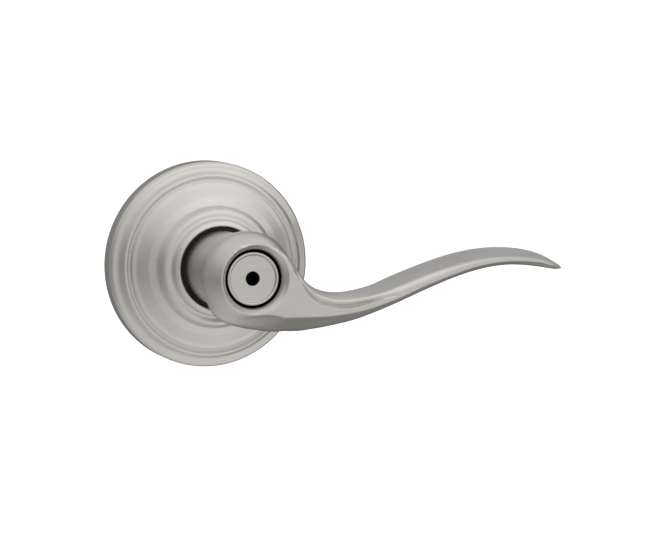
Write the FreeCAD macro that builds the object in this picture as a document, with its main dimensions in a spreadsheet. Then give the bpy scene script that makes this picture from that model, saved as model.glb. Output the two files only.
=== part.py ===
"""Outside half of a privacy door lever set, in millimetres.

The origin is on the turning axis at the door's face. +Y points into the door, so the lever stands
out along -Y. +X runs along the lever and +Z is up. A depth is a distance out from the door's face,
so a depth of 10 is at Y = -10, and a negative depth is inside the door.
"""
import FreeCAD, Part
import math
import os
import Sketcher

DRIVING = (
    # pressed cover, its outer rings counted in from the rim and its inner ones out from the opening
    ("rosette_radius", 35),
    ("rosette_shell", 1),
    ("rim_depth", 5.7),
    ("shoulder_inset", 1.8),
    ("shoulder_rise", 1.8),
    ("shoulder_bend", 2.4),
    ("crest_inset", 4.7),
    ("crest_depth", 9.75),
    ("cove_bend", 4.5),
    ("groove_inset", 6.1),
    ("groove_depth", 8.9),
    ("step_inset", 6.9),
    ("step_depth", 10.2),
    ("step_bend", 1.6),
    ("dish_low_inset", 7.7),
    ("dish_low_depth", 10.9),
    ("dish_bend", 24),
    ("dish_high_step", 5.9),
    ("dish_high_rise", 3.9),
    ("brow_step", 3.1),
    ("brow_rise", 6.5),
    ("brow_bend", 4),
    ("valley_step", 2),
    ("valley_rise", 6.4),
    ("lip_top_step", 0.6),
    ("lip_rise", 8.6),
    ("lip_bend", 3.2),
    ("opening_gap", 1.6),
    ("lip_length", 3.5),
    # plate and what is fastened to it
    ("plate_back", 0.5),
    ("plate_wall", 1.6),
    ("plate_slack", 0.1),
    ("tab_half_width", 4),
    ("tab_gap", 0.6),
    ("tab_wall", 0.8),
    ("tab_length", 2.3),
    ("post_place", 19),
    ("post_radius", 3.5),
    ("post_length", 24.5),
    ("tenon_radius", 2.6),
    ("thread_radius", 2.08),
    ("thread_depth", 18),
    ("pin_slack", 0.05),
    ("rivet_step", 2.8),
    ("rivet_radius", 1.25),
    ("rivet_head_radius", 2.2),
    ("rivet_head_height", 0.8),
    ("rivet_tail_height", 0.4),
    ("stop_inset", 2.5),
    ("stop_pin_radius", 1.5),
    ("stop_slack_angle", 0.8),
    ("lever_travel", 45),
    # spring housing
    ("housing_radius", 22.5),
    ("housing_wall", 1.2),
    ("housing_height", 9.4),
    ("housing_flange", 5.5),
    # washer, cam plate and return spring
    ("washer_width", 4.5),
    ("washer_wall", 0.5),
    ("face_slack", 0.05),
    ("cam_wall", 1.5),
    ("cam_width", 2.7),
    ("cam_root_overlap", 1),
    ("cam_arm_half_width", 4),
    ("cam_arm_gap", 0.9),
    ("finger_half_width", 1.5),
    ("finger_gap", 0.5),
    ("finger_wall", 2.7),
    ("finger_length", 4.85),
    ("coil_step", 3.1),
    ("coil_wire_radius", 0.8),
    ("coil_pitch", 1.65),
    ("coil_whole_turns", 2),
    ("leg_slack", 0.1),
    ("leg_thinning", 0.03),
    ("leg_gap", 0.3),
    # drive sleeve, bearing and ring
    ("lever_bore", 9.5),
    ("running_slack", 0.05),
    ("sleeve_wall", 1.5),
    ("sleeve_back", -2.2),
    ("sleeve_front", 46.9),
    ("sleeve_flange_width", 2),
    ("sleeve_flange_wall", 0.95),
    ("ring_back", -0.7),
    ("ring_wall", 1),
    ("ring_width", 2.5),
    ("ring_seat_cut", 0.5),
    ("bearing_wall", 1.3),
    ("bearing_flange_width", 3),
    ("bearing_flange_wall", 0.95),
    ("bearing_nose", 0.5),
    # neck bushing
    ("bushing_flange_width", 2.5),
    ("bushing_flange_wall", 1.5),
    ("bushing_drop", 2.5),
    ("neck_slack", 0.06),
    # lever
    ("neck_radius", 12.7),
    ("neck_gap", 0.3),
    ("crease_depth", 40),
    ("hub_bulge", 2.3),
    ("hub_depth", 47.5),
    ("hub_face", 56.9),
    ("hub_rear_bend", 14),
    ("hub_front_bend", 13),
    ("sink_width", 2),
    ("sink_depth", 2.5),
    # plug and clip
    ("plug_gap", 0.7),
    ("plug_drop", 0.2),
    ("plug_rim_width", 1),
    ("plug_dish_step", 0.3),
    ("plug_dish_drop", 0.35),
    ("plug_edge", 0.25),
    ("stem_back", 38),
    ("stem_bore_front", 46),
    ("pin_hole_radius", 2.26),
    ("clip_back", 40),
    ("clip_wall", 1),
    ("clip_cut", 0.7),
    ("clip_slack", 0.05),
    ("clip_angle", 300),
    # spindle, carrier, cross pin
    ("spindle_radius", 4),
    ("spindle_flat", 1.6),
    ("spindle_back", -52),
    ("spindle_reach", 2),
    ("carrier_back", 14),
    ("carrier_front", 22),
    ("cross_drop", 2.7),
    ("cross_radius", 0.8),
    ("cross_gap", 0.8),
    # release rod and its spring
    ("rod_radius", 1.25),
    ("rod_slack", 0.15),
    ("rod_back", -56),
    ("rod_head_radius", 2.7),
    ("rod_head_slack", 0.3),
    ("rod_head_wall", 1.2),
    ("rod_coil_radius", 2.1),
    ("rod_coil_wire_radius", 0.25),
    ("rod_coil_turns", 10),
    # lever catch and its spring
    ("catch_depth", 29.5),
    ("catch_half_length", 3),
    ("catch_base_gap", 0.75),
    ("catch_base_wall", 1.2),
    ("catch_nose_radius", 1.6),
    ("catch_nose_drop", 0.7),
    ("leaf_wall", 0.4),
    ("leaf_half_width", 2),
    ("leaf_far_end", 37),
    ("leaf_foot", 1.4),
    ("leaf_rise", 2.8),
    ("leaf_wall_gap", 0.55),
)

# the arm's stations: place along X, top, bottom, front depth, back depth, edge rounding
ARM_STATIONS = (
    ("rear", -9, 6, -11, 52.5, 44.5, 3),
    ("hub", 0, 8, -16.2, 56.4, 43, 4),
    ("root", 10, 8, -18.1, 56.8, 43, 4),
    ("throat", 15, 3.8, -18.3, 57, 43, 4),
    ("neck", 20.2, -2.5, -18, 57, 43.2, 4),
    ("low", 28.4, -5.7, -16.7, 57, 44.2, 3.6),
    ("rise", 40.9, -4.1, -13.7, 56.8, 45.8, 3),
    ("middle", 53.5, 0.7, -9, 56.4, 46.4, 2.7),
    ("climb", 66.3, 4.7, -4, 55.8, 47, 2.4),
    ("crown", 79.4, 6.9, -0.2, 54.9, 47.2, 2),
    ("fall", 93, 6.6, 1, 53, 46.6, 1.7),
    ("droop", 104, 3.8, -0.3, 50.9, 46.2, 1.3),
    ("tip", 112.3, -0.5, -2, 48.9, 46.4, 0.6),
)

# names worked out from the driving sizes
WORKED_OUT = (
    ("plate_front", "plate_back + plate_wall"),
    ("opening_radius", "neck_radius + opening_gap"),
    ("housing_face", "plate_front + housing_height"),
    ("rosette_inside", "rosette_radius - rosette_shell"),
    ("rim_inside_depth", "rim_depth - rosette_shell"),
    ("shoulder_radius", "rosette_radius - shoulder_inset"),
    ("shoulder_depth", "rim_depth + shoulder_rise"),
    ("crest_radius", "rosette_radius - crest_inset"),
    ("crest_inside_depth", "crest_depth - rosette_shell"),
    ("groove_radius", "rosette_radius - groove_inset"),
    ("groove_inside_depth", "groove_depth - rosette_shell"),
    ("step_radius", "rosette_radius - step_inset"),
    ("dish_low_radius", "rosette_radius - dish_low_inset"),
    ("dish_low_inside", "dish_low_depth - rosette_shell"),
    ("dish_high_radius", "opening_radius + dish_high_step"),
    ("dish_high_depth", "housing_face + dish_high_rise"),
    ("dish_high_inside", "dish_high_depth - rosette_shell"),
    ("brow_radius", "opening_radius + brow_step"),
    ("brow_depth", "housing_face + brow_rise"),
    ("valley_radius", "opening_radius + valley_step"),
    ("valley_depth", "housing_face + valley_rise"),
    ("valley_inside", "valley_depth - rosette_shell"),
    ("lip_top_radius", "opening_radius + lip_top_step"),
    ("lip_outside", "opening_radius + rosette_shell"),
    ("lip_depth", "housing_face + lip_rise"),
    ("lip_edge_depth", "lip_depth - rosette_shell / 2"),
    ("lip_back", "lip_depth - lip_length"),
    ("plate_radius", "rosette_inside - plate_slack"),
    ("tab_outside", "rosette_inside - tab_gap"),
    ("tab_inside", "tab_outside - tab_wall"),
    ("tab_top", "plate_front + tab_length"),
    ("post_back", "plate_back - post_length"),
    ("tenon_hole", "tenon_radius + pin_slack"),
    ("housing_inside", "housing_radius - housing_wall"),
    ("housing_floor", "housing_face - housing_wall"),
    ("housing_flange_radius", "housing_radius + housing_flange"),
    ("flange_front", "plate_front + housing_wall"),
    ("rivet_hole", "rivet_radius + pin_slack"),
    ("rivet_circle", "housing_radius + rivet_step"),
    ("rivet_across", "rivet_circle * cos(30)"),
    ("rivet_down", "rivet_circle / 2"),
    ("rivet_tail_back", "plate_back - rivet_tail_height"),
    ("rivet_head_top", "flange_front + rivet_head_height"),
    ("stop_hole", "stop_pin_radius + pin_slack"),
    ("stop_circle", "housing_inside - stop_inset"),
    ("stop_angle", "lever_travel + stop_slack_angle"
     " + asin((cam_arm_half_width + stop_pin_radius) / stop_circle) / 1deg"),
    ("stop_across", "stop_circle * sin(stop_angle)"),
    ("stop_down", "stop_circle * cos(stop_angle)"),
    ("stop_pin_top", "housing_floor - face_slack"),
    ("washer_radius", "lever_bore + washer_width"),
    ("washer_front", "plate_front + washer_wall"),
    ("cam_back", "washer_front + face_slack"),
    ("cam_front", "cam_back + cam_wall"),
    ("cam_radius", "lever_bore + cam_width"),
    ("cam_root", "lever_bore + cam_root_overlap"),
    ("cam_arm_reach", "housing_inside - cam_arm_gap"),
    ("coil_radius", "lever_bore + coil_step"),
    ("coil_start_depth", "cam_front + coil_wire_radius + face_slack"),
    ("leg_place", "finger_half_width + leg_slack + coil_wire_radius"),
    ("leg_start", "coil_radius - coil_wire_radius / 2"),
    ("leg_top", "housing_inside - leg_gap"),
    ("leg_radius", "coil_wire_radius - leg_thinning"),
    ("leg_angle", "acos(leg_place / coil_radius) / 1deg"),
    ("coil_turns", "coil_whole_turns + (180 - 2 * leg_angle) / 360"),
    ("coil_height", "coil_turns * coil_pitch"),
    ("coil_end_depth", "coil_start_depth + coil_height"),
    ("finger_inside", "coil_radius + coil_wire_radius + finger_gap"),
    ("finger_outside", "finger_inside + finger_wall"),
    ("finger_top", "cam_front + finger_length"),
    ("sleeve_radius", "lever_bore - running_slack"),
    ("sleeve_inside", "sleeve_radius - sleeve_wall"),
    ("sleeve_flange_radius", "lever_bore + sleeve_flange_width"),
    ("sleeve_flange_front", "cam_front + sleeve_flange_wall"),
    ("ring_radius", "lever_bore + ring_width"),
    ("ring_front", "ring_back + ring_wall"),
    ("ring_seat_back", "ring_back - face_slack"),
    ("ring_seat_front", "ring_front + face_slack"),
    ("ring_seat_radius", "sleeve_radius - ring_seat_cut"),
    ("ring_inside", "ring_seat_radius + face_slack"),
    ("bearing_radius", "lever_bore + bearing_wall"),
    ("bearing_seat", "bearing_radius + running_slack"),
    ("bearing_flange_radius", "lever_bore + bearing_flange_width"),
    ("bearing_flange_back", "housing_floor - bearing_flange_wall"),
    ("bearing_front", "housing_face + bearing_nose"),
    ("bushing_inside", "neck_radius + neck_slack"),
    ("bushing_radius", "opening_radius - plate_slack"),
    ("bushing_flange_radius", "opening_radius + bushing_flange_width"),
    ("bushing_flange_front", "housing_face + bushing_flange_wall"),
    ("bushing_front", "lip_depth - bushing_drop"),
    ("neck_back", "bearing_front + neck_gap"),
    ("hub_radius", "neck_radius + hub_bulge"),
    ("sink_radius", "lever_bore + sink_width"),
    ("sink_floor", "hub_face - sink_depth"),
    ("cut_back", "neck_back - 1"),
    ("cut_front", "hub_face + 2"),
    ("plug_radius", "lever_bore - plug_gap"),
    ("plug_face", "sink_floor - plug_drop"),
    ("plug_rim_radius", "plug_radius - plug_rim_width"),
    ("plug_dish_radius", "plug_rim_radius - plug_dish_step"),
    ("plug_back", "sleeve_front + plate_slack"),
    ("plug_edge_radius", "plug_radius - plug_edge"),
    ("plug_edge_depth", "plug_face - plug_edge"),
    ("plug_dish_face", "plug_face - plug_dish_drop"),
    ("stem_radius", "sleeve_inside - plate_slack"),
    ("stem_bore", "rod_head_radius + rod_head_slack"),
    ("clip_front", "clip_back + clip_wall"),
    ("clip_seat_radius", "stem_radius - clip_cut"),
    ("clip_inside", "clip_seat_radius + clip_slack"),
    ("clip_outside", "sleeve_inside - clip_slack"),
    ("clip_low", "clip_back + clip_slack"),
    ("clip_high", "clip_front - clip_slack"),
    ("carrier_radius", "sleeve_inside - running_slack"),
    ("carrier_bore", "spindle_radius + running_slack"),
    ("spindle_front", "carrier_front + spindle_reach"),
    ("channel_half_width", "rod_radius + rod_slack"),
    ("cross_depth", "(carrier_back + carrier_front) / 2"),
    ("cross_half_length", "lever_bore - cross_gap"),
    ("cross_hole", "cross_radius + pin_slack"),
    ("rod_head_front", "stem_bore_front - face_slack"),
    ("rod_head_back", "rod_head_front - rod_head_wall"),
    ("rod_coil_start", "spindle_front + rod_coil_wire_radius + face_slack"),
    ("rod_coil_end", "rod_head_back - rod_coil_wire_radius - face_slack"),
    ("rod_coil_height", "rod_coil_end - rod_coil_start"),
    ("rod_coil_pitch", "rod_coil_height / rod_coil_turns"),
    ("catch_sleeve_hole", "catch_nose_radius + pin_slack"),
    ("catch_lever_hole", "catch_nose_radius + 2 * pin_slack"),
    ("catch_near", "catch_depth - catch_half_length"),
    ("catch_far", "catch_depth + catch_half_length"),
    ("catch_base_low", "sleeve_inside - catch_base_gap"),
    ("catch_nose_tip", "neck_radius - catch_nose_drop"),
    ("catch_top", "catch_base_low - catch_base_wall"),
    ("leaf_high", "catch_top - face_slack"),
    ("leaf_high_inside", "leaf_high - leaf_wall"),
    ("leaf_low", "sleeve_inside - leaf_wall_gap"),
    ("leaf_low_inside", "leaf_low - leaf_wall"),
    ("leaf_foot_end", "leaf_far_end - leaf_foot"),
    ("leaf_bend_end", "leaf_foot_end - leaf_rise"),
)

RIVET_PLACES = ((None, "rivet_circle"), ("rivet_across", "-rivet_down"), ("-rivet_across", "-rivet_down"))
STOP_PLACES = ((None, "stop_circle"), ("stop_across", "-stop_down"), ("-stop_across", "-stop_down"))
POST_PLACES = (("post_place", None), ("-post_place", None))
CENTRE = ((None, None),)

doc = FreeCAD.newDocument("door_lever")
sheet = doc.addObject("Spreadsheet::Sheet", "Sizes")
pieces = []


def write_sheet():
    """Put every named size in the sheet: plain numbers first, then the cells worked out from them."""
    rows = [(name, str(number)) for name, number in DRIVING]
    for station in ARM_STATIONS:
        for part, number in zip(("place", "top", "bottom", "front", "back", "round"), station[1:]):
            rows.append(("arm_%s_%s" % (station[0], part), str(number)))
    rows += [(name, "=" + rule) for name, rule in WORKED_OUT]
    for row, (name, content) in enumerate(rows, start=1):
        sheet.set("A%d" % row, name)
        sheet.set("B%d" % row, content)
        sheet.setAlias("B%d" % row, name)
    doc.recompute()


def size(name):
    """Read a named size; None is zero, and a leading minus sign takes the other side."""
    if name is None:
        return 0.0
    if name.startswith("-"):
        return -size(name[1:])
    return float(getattr(sheet, name))


def rule(name):
    """The same size as an expression on the sheet."""
    if name.startswith("-"):
        return "-Sizes." + name[1:]
    return "Sizes." + name


def new_piece(name):
    """Start one physical piece."""
    body = doc.addObject("PartDesign::Body", name)
    body.Label = name
    pieces.append(body)
    return body


def plane_sketch(body, role, offset_name=None, turn=None):
    """A sketch on one of the body's own planes, moved along its normal by a named size."""
    sketch = body.newObject("Sketcher::SketchObject", "Sketch")
    plane = [item for item in body.Origin.OriginFeatures if item.Role == role][0]
    sketch.AttachmentSupport = [(plane, "")]
    sketch.MapMode = "FlatFace"
    sketch.AttachmentOffset = FreeCAD.Placement(FreeCAD.Vector(), turn or FreeCAD.Rotation())
    if offset_name:
        sketch.setExpression("AttachmentOffset.Base.z", rule(offset_name))
    return sketch


def side_sketch(body, angle=0.0):
    """Sketch across = radius from the turning axis, up = depth; angle is counted from +X to +Z."""
    flip = FreeCAD.Rotation(FreeCAD.Vector(1, 0, 0), 180)
    swing = FreeCAD.Rotation(FreeCAD.Vector(0, 1, 0), -angle)
    return plane_sketch(body, "XY_Plane", None, swing.multiply(flip))


def front_sketch(body, depth_name):
    """Sketch across = X, up = Z, at a named depth; it pads away from the door."""
    return plane_sketch(body, "XZ_Plane", depth_name)


def end_sketch(body, place_name=None):
    """Sketch across = Y, up = Z, at a named place along X."""
    return plane_sketch(body, "YZ_Plane", place_name)


def top_sketch(body, height_name=None):
    """Sketch across = X, up = Y, at a named height; it pads upwards."""
    return plane_sketch(body, "XY_Plane", height_name)


def pin_point(sketch, geometry, end, across, up):
    """Hold a point at two named distances from the sketch's origin."""
    for kind, axis, name in (("DistanceX", -2, across), ("DistanceY", -1, up)):
        if name is None:
            sketch.addConstraint(Sketcher.Constraint("PointOnObject", geometry, end, axis))
            continue
        made = sketch.addConstraint(Sketcher.Constraint(kind, -1, 1, geometry, end, size(name)))
        sketch.setExpression("Constraints[%d]" % made, rule(name))


def bend_radius(sketch, geometry, name):
    """Give a circle or an arc its named radius."""
    made = sketch.addConstraint(Sketcher.Constraint("Radius", geometry, size(name)))
    sketch.setExpression("Constraints[%d]" % made, rule(name))


def circles(sketch, places, radius):
    """Draw one circle of a named radius at each named place."""
    for across, up in places:
        middle = FreeCAD.Vector(size(across), size(up), 0)
        made = sketch.addGeometry(Part.Circle(middle, FreeCAD.Vector(0, 0, 1), size(radius)), False)
        pin_point(sketch, made, 3, across, up)
        bend_radius(sketch, made, radius)


def bent_edge(start, end, radius):
    """The short arc between two points; a positive radius bulges to the left of the way travelled."""
    way = end - start
    left = FreeCAD.Vector(-way.y, way.x, 0).normalize()
    rise = math.sqrt(radius * radius - way.Length ** 2 / 4)
    middle = (start + end) * 0.5 - left * math.copysign(rise, radius)
    first, last = (end, start) if radius > 0 else (start, end)
    angles = [math.atan2(point.y - middle.y, point.x - middle.x) for point in (first, last)]
    circle = Part.Circle(middle, FreeCAD.Vector(0, 0, 1), abs(radius))
    return Part.ArcOfCircle(circle, angles[0], angles[1])


def outline(sketch, corners):
    """Close an outline through named corners; a third name bends the edge that leaves a corner."""
    points = [FreeCAD.Vector(size(corner[0]), size(corner[1]), 0) for corner in corners]
    edges = []
    for start, end, corner in zip(points, points[1:] + points[:1], corners):
        if len(corner) == 2:
            made = sketch.addGeometry(Part.LineSegment(start, end), False)
            edges.append((made, 1, 2))
            continue
        made = sketch.addGeometry(bent_edge(start, end, size(corner[2])), False)
        bend_radius(sketch, made, corner[2].lstrip("-"))
        edges.append((made, 2, 1) if size(corner[2]) > 0 else (made, 1, 2))
    for edge, after, corner in zip(edges[-1:] + edges[:-1], edges, corners):
        sketch.addConstraint(Sketcher.Constraint("Coincident", edge[0], edge[2], after[0], after[1]))
        pin_point(sketch, after[0], after[1], corner[0], corner[1])


def rounded_box(sketch, left, right, low, high, bend):
    """A rectangle between four named sides whose corners are named quarter arcs."""
    sides = [size(left), size(right), size(low), size(high)]
    turn = size(bend)
    middles = ((sides[1] - turn, sides[2] + turn, -90), (sides[1] - turn, sides[3] - turn, 0),
               (sides[0] + turn, sides[3] - turn, 90), (sides[0] + turn, sides[2] + turn, 180))
    up = FreeCAD.Vector(0, 0, 1)
    arcs = []
    for across, rise, start in middles:
        circle = Part.Circle(FreeCAD.Vector(across, rise, 0), up, turn)
        arc = Part.ArcOfCircle(circle, math.radians(start), math.radians(start + 90))
        arcs.append((arc, sketch.addGeometry(arc, False)))
    lines = []
    for (arc, made), (next_arc, next_made) in zip(arcs, arcs[1:] + arcs[:1]):
        line = sketch.addGeometry(Part.LineSegment(arc.EndPoint, next_arc.StartPoint), False)
        sketch.addConstraint(Sketcher.Constraint("Tangent", made, 2, line, 1))
        sketch.addConstraint(Sketcher.Constraint("Tangent", line, 2, next_made, 1))
        lines.append(line)
    bend_radius(sketch, arcs[0][1], bend)
    for arc, made in arcs[1:]:
        sketch.addConstraint(Sketcher.Constraint("Equal", arcs[0][1], made))
    walls = (("Vertical", "DistanceX", right), ("Horizontal", "DistanceY", high),
             ("Vertical", "DistanceX", left), ("Horizontal", "DistanceY", low))
    for line, (lie, kind, name) in zip(lines, walls):
        sketch.addConstraint(Sketcher.Constraint(lie, line))
        made = sketch.addConstraint(Sketcher.Constraint(kind, -1, 1, line, 1, size(name)))
        sketch.setExpression("Constraints[%d]" % made, rule(name))


def feature(body, kind, sketch):
    """Add a feature that works on a sketch."""
    made = body.newObject("PartDesign::" + kind, kind)
    made.Profile = sketch
    return made


def turned(body, corners, kind="Revolution"):
    """Turn an outline of (radius, depth) corners about the turning axis, or cut it as a Groove."""
    sketch = side_sketch(body)
    outline(sketch, corners)
    made = feature(body, kind, sketch)
    made.ReferenceAxis = (sketch, ["V_Axis"])
    made.Angle = 360
    return made


def turned_ring(body, inside, outside, low, high):
    """Turn a plain ring."""
    return turned(body, ((inside, low), (outside, low), (outside, high), (inside, high)))


def padded(body, sketch, low, high):
    """Pad a sketch from one named level to another."""
    made = feature(body, "Pad", sketch)
    made.setExpression("Length", "%s - (%s)" % (rule(high), rule(low)))
    return made


def padded_circles(body, places, radius, low, high):
    """Pad equal round pins from one named depth to another."""
    sketch = front_sketch(body, low)
    circles(sketch, places, radius)
    return padded(body, sketch, low, high)


def padded_box(body, half_width, near, far, low, high):
    """Pad a bar that lies across X = 0, between two named heights."""
    sketch = front_sketch(body, low)
    outline(sketch, ((half_width, near), (half_width, far), ("-" + half_width, far),
                     ("-" + half_width, near)))
    return padded(body, sketch, low, high)


def bored(body, sketch, length_rule):
    """Cut a sketch against its normal for a length."""
    made = feature(body, "Pocket", sketch)
    made.setExpression("Length", length_rule)
    return made


def bored_circles(body, places, radius, low, high):
    """Bore equal round holes from one named depth to another."""
    sketch = front_sketch(body, high)
    circles(sketch, places, radius)
    return bored(body, sketch, "%s - (%s)" % (rule(high), rule(low)))


def cross_bored(body):
    """Bore the cross pin's hole right through, along X."""
    sketch = end_sketch(body)
    circles(sketch, (("-cross_depth", "-cross_drop"),), "cross_hole")
    made = bored(body, sketch, "4 * Sizes.lever_bore")
    made.SideType = "Symmetric"


def catch_bored(body, radius):
    """Bore the lever catch's hole from the turning axis straight down."""
    sketch = top_sketch(body)
    circles(sketch, ((None, "-catch_depth"),), radius)
    bored(body, sketch, "2 * Sizes.neck_radius")


def wound(body, angle, radius, wire_radius, start, pitch, height):
    """Wind a round wire about the turning axis, away from the door."""
    sketch = side_sketch(body, angle)
    circles(sketch, ((radius, start),), wire_radius)
    made = feature(body, "AdditiveHelix", sketch)
    made.ReferenceAxis = (sketch, ["V_Axis"])
    made.Mode = "pitch-height-angle"
    made.setExpression("Pitch", rule(pitch))
    made.setExpression("Height", rule(height))
    return made


def rosette():
    """Pressed cover: a straight rim, a cove, a sharp groove, a dished cone and a turned-in lip."""
    turned(new_piece("rosette"), (
        ("rosette_radius", None),
        ("rosette_radius", "rim_depth", "-shoulder_bend"),
        ("shoulder_radius", "shoulder_depth", "cove_bend"),
        ("crest_radius", "crest_depth"),
        ("groove_radius", "groove_depth"),
        ("step_radius", "step_depth", "-step_bend"),
        ("dish_low_radius", "dish_low_depth", "dish_bend"),
        ("dish_high_radius", "dish_high_depth", "-brow_bend"),
        ("brow_radius", "brow_depth"),
        ("valley_radius", "valley_depth", "lip_bend"),
        ("lip_top_radius", "lip_depth"),
        ("opening_radius", "lip_edge_depth"),
        ("opening_radius", "lip_back"),
        ("lip_outside", "lip_back"),
        ("valley_radius", "valley_inside"),
        ("dish_high_radius", "dish_high_inside", "-dish_bend"),
        ("dish_low_radius", "dish_low_inside"),
        ("groove_radius", "groove_inside_depth"),
        ("crest_radius", "crest_inside_depth"),
        ("rosette_inside", "rim_inside_depth"),
        ("rosette_inside", None),
    ))


def mounting_plate():
    """Flat steel disc that carries everything, with three tabs that grip the cover's rim."""
    body = new_piece("mounting_plate")
    turned_ring(body, "lever_bore", "plate_radius", "plate_back", "plate_front")
    bored_circles(body, POST_PLACES, "tenon_hole", "plate_back", "plate_front")
    bored_circles(body, RIVET_PLACES, "rivet_hole", "plate_back", "plate_front")
    bored_circles(body, STOP_PLACES, "stop_hole", "plate_back", "plate_front")
    tab = padded_box(body, "tab_half_width", "tab_inside", "tab_outside", "plate_front", "tab_top")
    tabs = body.newObject("PartDesign::PolarPattern", "Tabs")
    tabs.Originals = [tab]
    tabs.Axis = ([item for item in body.Origin.OriginFeatures if item.Role == "Y_Axis"][0], [""])
    tabs.Angle = 360
    tabs.Occurrences = 3
    body.Tip = tabs


def mounting_posts():
    """Two posts riveted into the plate, tapped from their free ends for the through bolts."""
    body = new_piece("mounting_posts")
    padded_circles(body, POST_PLACES, "post_radius", "post_back", "plate_back")
    padded_circles(body, POST_PLACES, "tenon_radius", "plate_back", "plate_front")
    sketch = front_sketch(body, "post_back")
    circles(sketch, POST_PLACES, "thread_radius")
    bored(body, sketch, "Sizes.thread_depth").Reversed = True


def housing_rivets():
    """Three rivets that hold the spring housing on the plate."""
    body = new_piece("housing_rivets")
    padded_circles(body, RIVET_PLACES, "rivet_radius", "plate_back", "flange_front")
    padded_circles(body, RIVET_PLACES, "rivet_head_radius", "flange_front", "rivet_head_top")
    padded_circles(body, RIVET_PLACES, "rivet_head_radius", "rivet_tail_back", "plate_back")


def stop_pins():
    """Two pins that stop the cam plate's arm and one that anchors the return spring's legs."""
    padded_circles(new_piece("stop_pins"), STOP_PLACES, "stop_pin_radius", "plate_back", "stop_pin_top")


def spring_housing():
    """Drawn steel cup with a riveted flange and a seat for the sleeve's bearing."""
    body = new_piece("spring_housing")
    turned(body, (
        ("housing_flange_radius", "plate_front"), ("housing_flange_radius", "flange_front"),
        ("housing_radius", "flange_front"), ("housing_radius", "housing_face"),
        ("bearing_seat", "housing_face"), ("bearing_seat", "housing_floor"),
        ("housing_inside", "housing_floor"), ("housing_inside", "plate_front"),
    ))
    bored_circles(body, RIVET_PLACES, "rivet_hole", "plate_front", "flange_front")


def sleeve_bearing():
    """Flanged nylon bearing for the drive sleeve."""
    turned(new_piece("sleeve_bearing"), (
        ("lever_bore", "bearing_flange_back"), ("bearing_flange_radius", "bearing_flange_back"),
        ("bearing_flange_radius", "housing_floor"), ("bearing_radius", "housing_floor"),
        ("bearing_radius", "bearing_front"), ("lever_bore", "bearing_front"),
    ))


def thrust_washer():
    """Nylon washer between the plate and the cam plate."""
    turned_ring(new_piece("thrust_washer"), "lever_bore", "washer_radius", "plate_front", "washer_front")


def neck_bushing():
    """Black nylon ring that fills the cover's opening around the lever's neck."""
    turned(new_piece("neck_bushing"), (
        ("bushing_inside", "housing_face"), ("bushing_flange_radius", "housing_face"),
        ("bushing_flange_radius", "bushing_flange_front"), ("bushing_radius", "bushing_flange_front"),
        ("bushing_radius", "bushing_front"), ("bushing_inside", "bushing_front"),
    ))


def return_spring():
    """Double-leg torsion spring: both legs lie against the anchor pin and the cam plate's finger."""
    body = new_piece("return_spring")
    wound(body, size("leg_angle"), "coil_radius", "coil_wire_radius", "coil_start_depth",
          "coil_pitch", "coil_height")
    for across, depth in (("leg_place", "-coil_start_depth"), ("-leg_place", "-coil_end_depth")):
        sketch = top_sketch(body, "leg_start")
        circles(sketch, ((across, depth),), "leg_radius")
        padded(body, sketch, "leg_start", "leg_top")


def cam_plate():
    """Turns with the sleeve: its lower arm meets the stops and its finger pushes the spring's legs."""
    body = new_piece("cam_plate")
    turned_ring(body, "lever_bore", "cam_radius", "cam_back", "cam_front")
    padded_box(body, "cam_arm_half_width", "-cam_root", "-cam_arm_reach", "cam_back", "cam_front")
    padded_box(body, "finger_half_width", "cam_root", "finger_outside", "cam_back", "cam_front")
    padded_box(body, "finger_half_width", "finger_inside", "finger_outside", "cam_front", "finger_top")


def drive_sleeve():
    """Steel tube that carries the lever, with a flange for the cam plate and a ring groove."""
    body = new_piece("drive_sleeve")
    turned(body, (
        ("sleeve_inside", "sleeve_back"), ("sleeve_radius", "sleeve_back"),
        ("sleeve_radius", "ring_seat_back"), ("ring_seat_radius", "ring_seat_back"),
        ("ring_seat_radius", "ring_seat_front"), ("sleeve_radius", "ring_seat_front"),
        ("sleeve_radius", "cam_front"), ("sleeve_flange_radius", "cam_front"),
        ("sleeve_flange_radius", "sleeve_flange_front"), ("sleeve_radius", "sleeve_flange_front"),
        ("sleeve_radius", "sleeve_front"), ("sleeve_inside", "sleeve_front"),
    ))
    cross_bored(body)
    catch_bored(body, "catch_sleeve_hole")


def retaining_ring():
    """Snap ring behind the plate that keeps the sleeve from being pulled out."""
    body = new_piece("retaining_ring")
    made = turned_ring(body, "ring_inside", "ring_radius", "ring_back", "ring_front")
    made.setExpression("Angle", rule("clip_angle"))


def lever():
    """Cast handle: a round neck, a bulged hub and the wave-shaped arm, bored for the sleeve."""
    body = new_piece("lever")
    turned(body, (
        (None, "neck_back"), ("neck_radius", "neck_back"),
        ("neck_radius", "crease_depth", "-hub_rear_bend"),
        ("hub_radius", "hub_depth", "-hub_front_bend"),
        ("sink_radius", "hub_face"), (None, "hub_face"),
    ))
    sections = []
    for station in ARM_STATIONS:
        stem = "arm_%s_" % station[0]
        sketch = end_sketch(body, stem + "place")
        rounded_box(sketch, "-" + stem + "front", "-" + stem + "back",
                    stem + "bottom", stem + "top", stem + "round")
        sections.append(sketch)
    arm = feature(body, "AdditiveLoft", sections[0])
    arm.Sections = sections[1:]
    turned(body, (
        (None, "cut_back"), ("lever_bore", "cut_back"), ("lever_bore", "sink_floor"),
        ("sink_radius", "hub_face"), ("sink_radius", "cut_front"), (None, "cut_front"),
    ), "Groove")
    catch_bored(body, "catch_lever_hole")


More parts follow.
